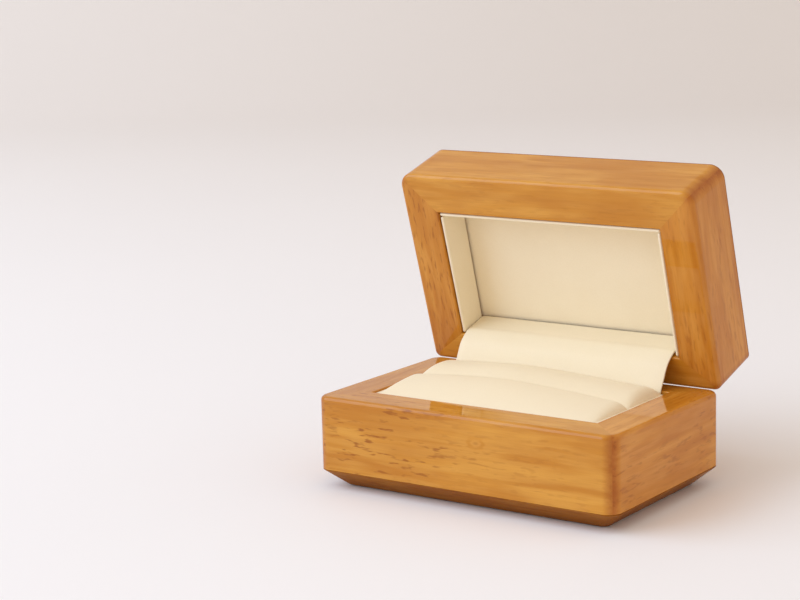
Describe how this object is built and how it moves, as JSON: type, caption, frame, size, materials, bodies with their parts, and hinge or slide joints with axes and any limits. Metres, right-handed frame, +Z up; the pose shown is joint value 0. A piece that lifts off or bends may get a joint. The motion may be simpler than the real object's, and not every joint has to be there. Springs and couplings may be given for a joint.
{
  "type": "ring box",
  "caption": "Hinged wooden ring box, open, with mitred chamfered base and lid, a slit roll cushion for rings, padded leatherette lid lining and a flap over the hinge.",
  "frame": {"origin": "centre of the base's footprint, on the surface that the box stands on", "axes": "+Z up, +X to the right along the hinge, -Y out of the front of the box, where the lid opens"},
  "size_m": [0.085, 0.0722, 0.0792],
  "materials": {
    "wood": "high-gloss clear lacquer over honey-coloured pine",
    "wood_edge": "high-gloss clear lacquer over darker bevelled edge",
    "leatherette": "smooth matt cream leatherette",
    "felt": "dark brown felt",
    "card": "grey-brown pressed board",
    "brass": "satin brass plate",
    "steel": "bright spring steel"
  },
  "bodies": {
    "base": {"base_front_wall": "wood", "base_back_wall": "wood", "base_left_wall": "wood", "base_right_wall": "wood", "base_bottom_panel": "wood_edge", "base_felt_pad": "felt", "cushion_board": "card", "cushion_front_roll": "leatherette", "cushion_back_roll": "leatherette", "hinge_base_leaf": "brass", "hinge_pin": "steel", "hinge_spring": "steel", "base_hinge_screw_1": "brass", "base_hinge_screw_2": "brass", "base_hinge_screw_3": "brass", "spring_rivet_1": "steel", "spring_rivet_2": "steel"},
    "lid": {"lid_front_wall": "wood", "lid_back_wall": "wood", "lid_left_wall": "wood", "lid_right_wall": "wood", "lid_top_panel": "wood_edge", "lid_lining_left": "leatherette", "lid_lining_right": "leatherette", "lid_lining_front": "leatherette", "lid_ceiling_pad": "leatherette", "hinge_lid_leaf": "brass", "lid_hinge_screw_1": "brass", "lid_hinge_screw_2": "brass", "lid_hinge_screw_3": "brass", "hinge_flap": "leatherette"}
  },
  "joints": [
    {"name": "lid_hinge", "type": "hinge", "parent": "base", "child": "lid", "pos_m": [0, 0.0261, 0.02365], "axis": [1, 0, 0], "range_deg": [0, 73.5], "deforming": ["hinge_flap"]}
  ]
}
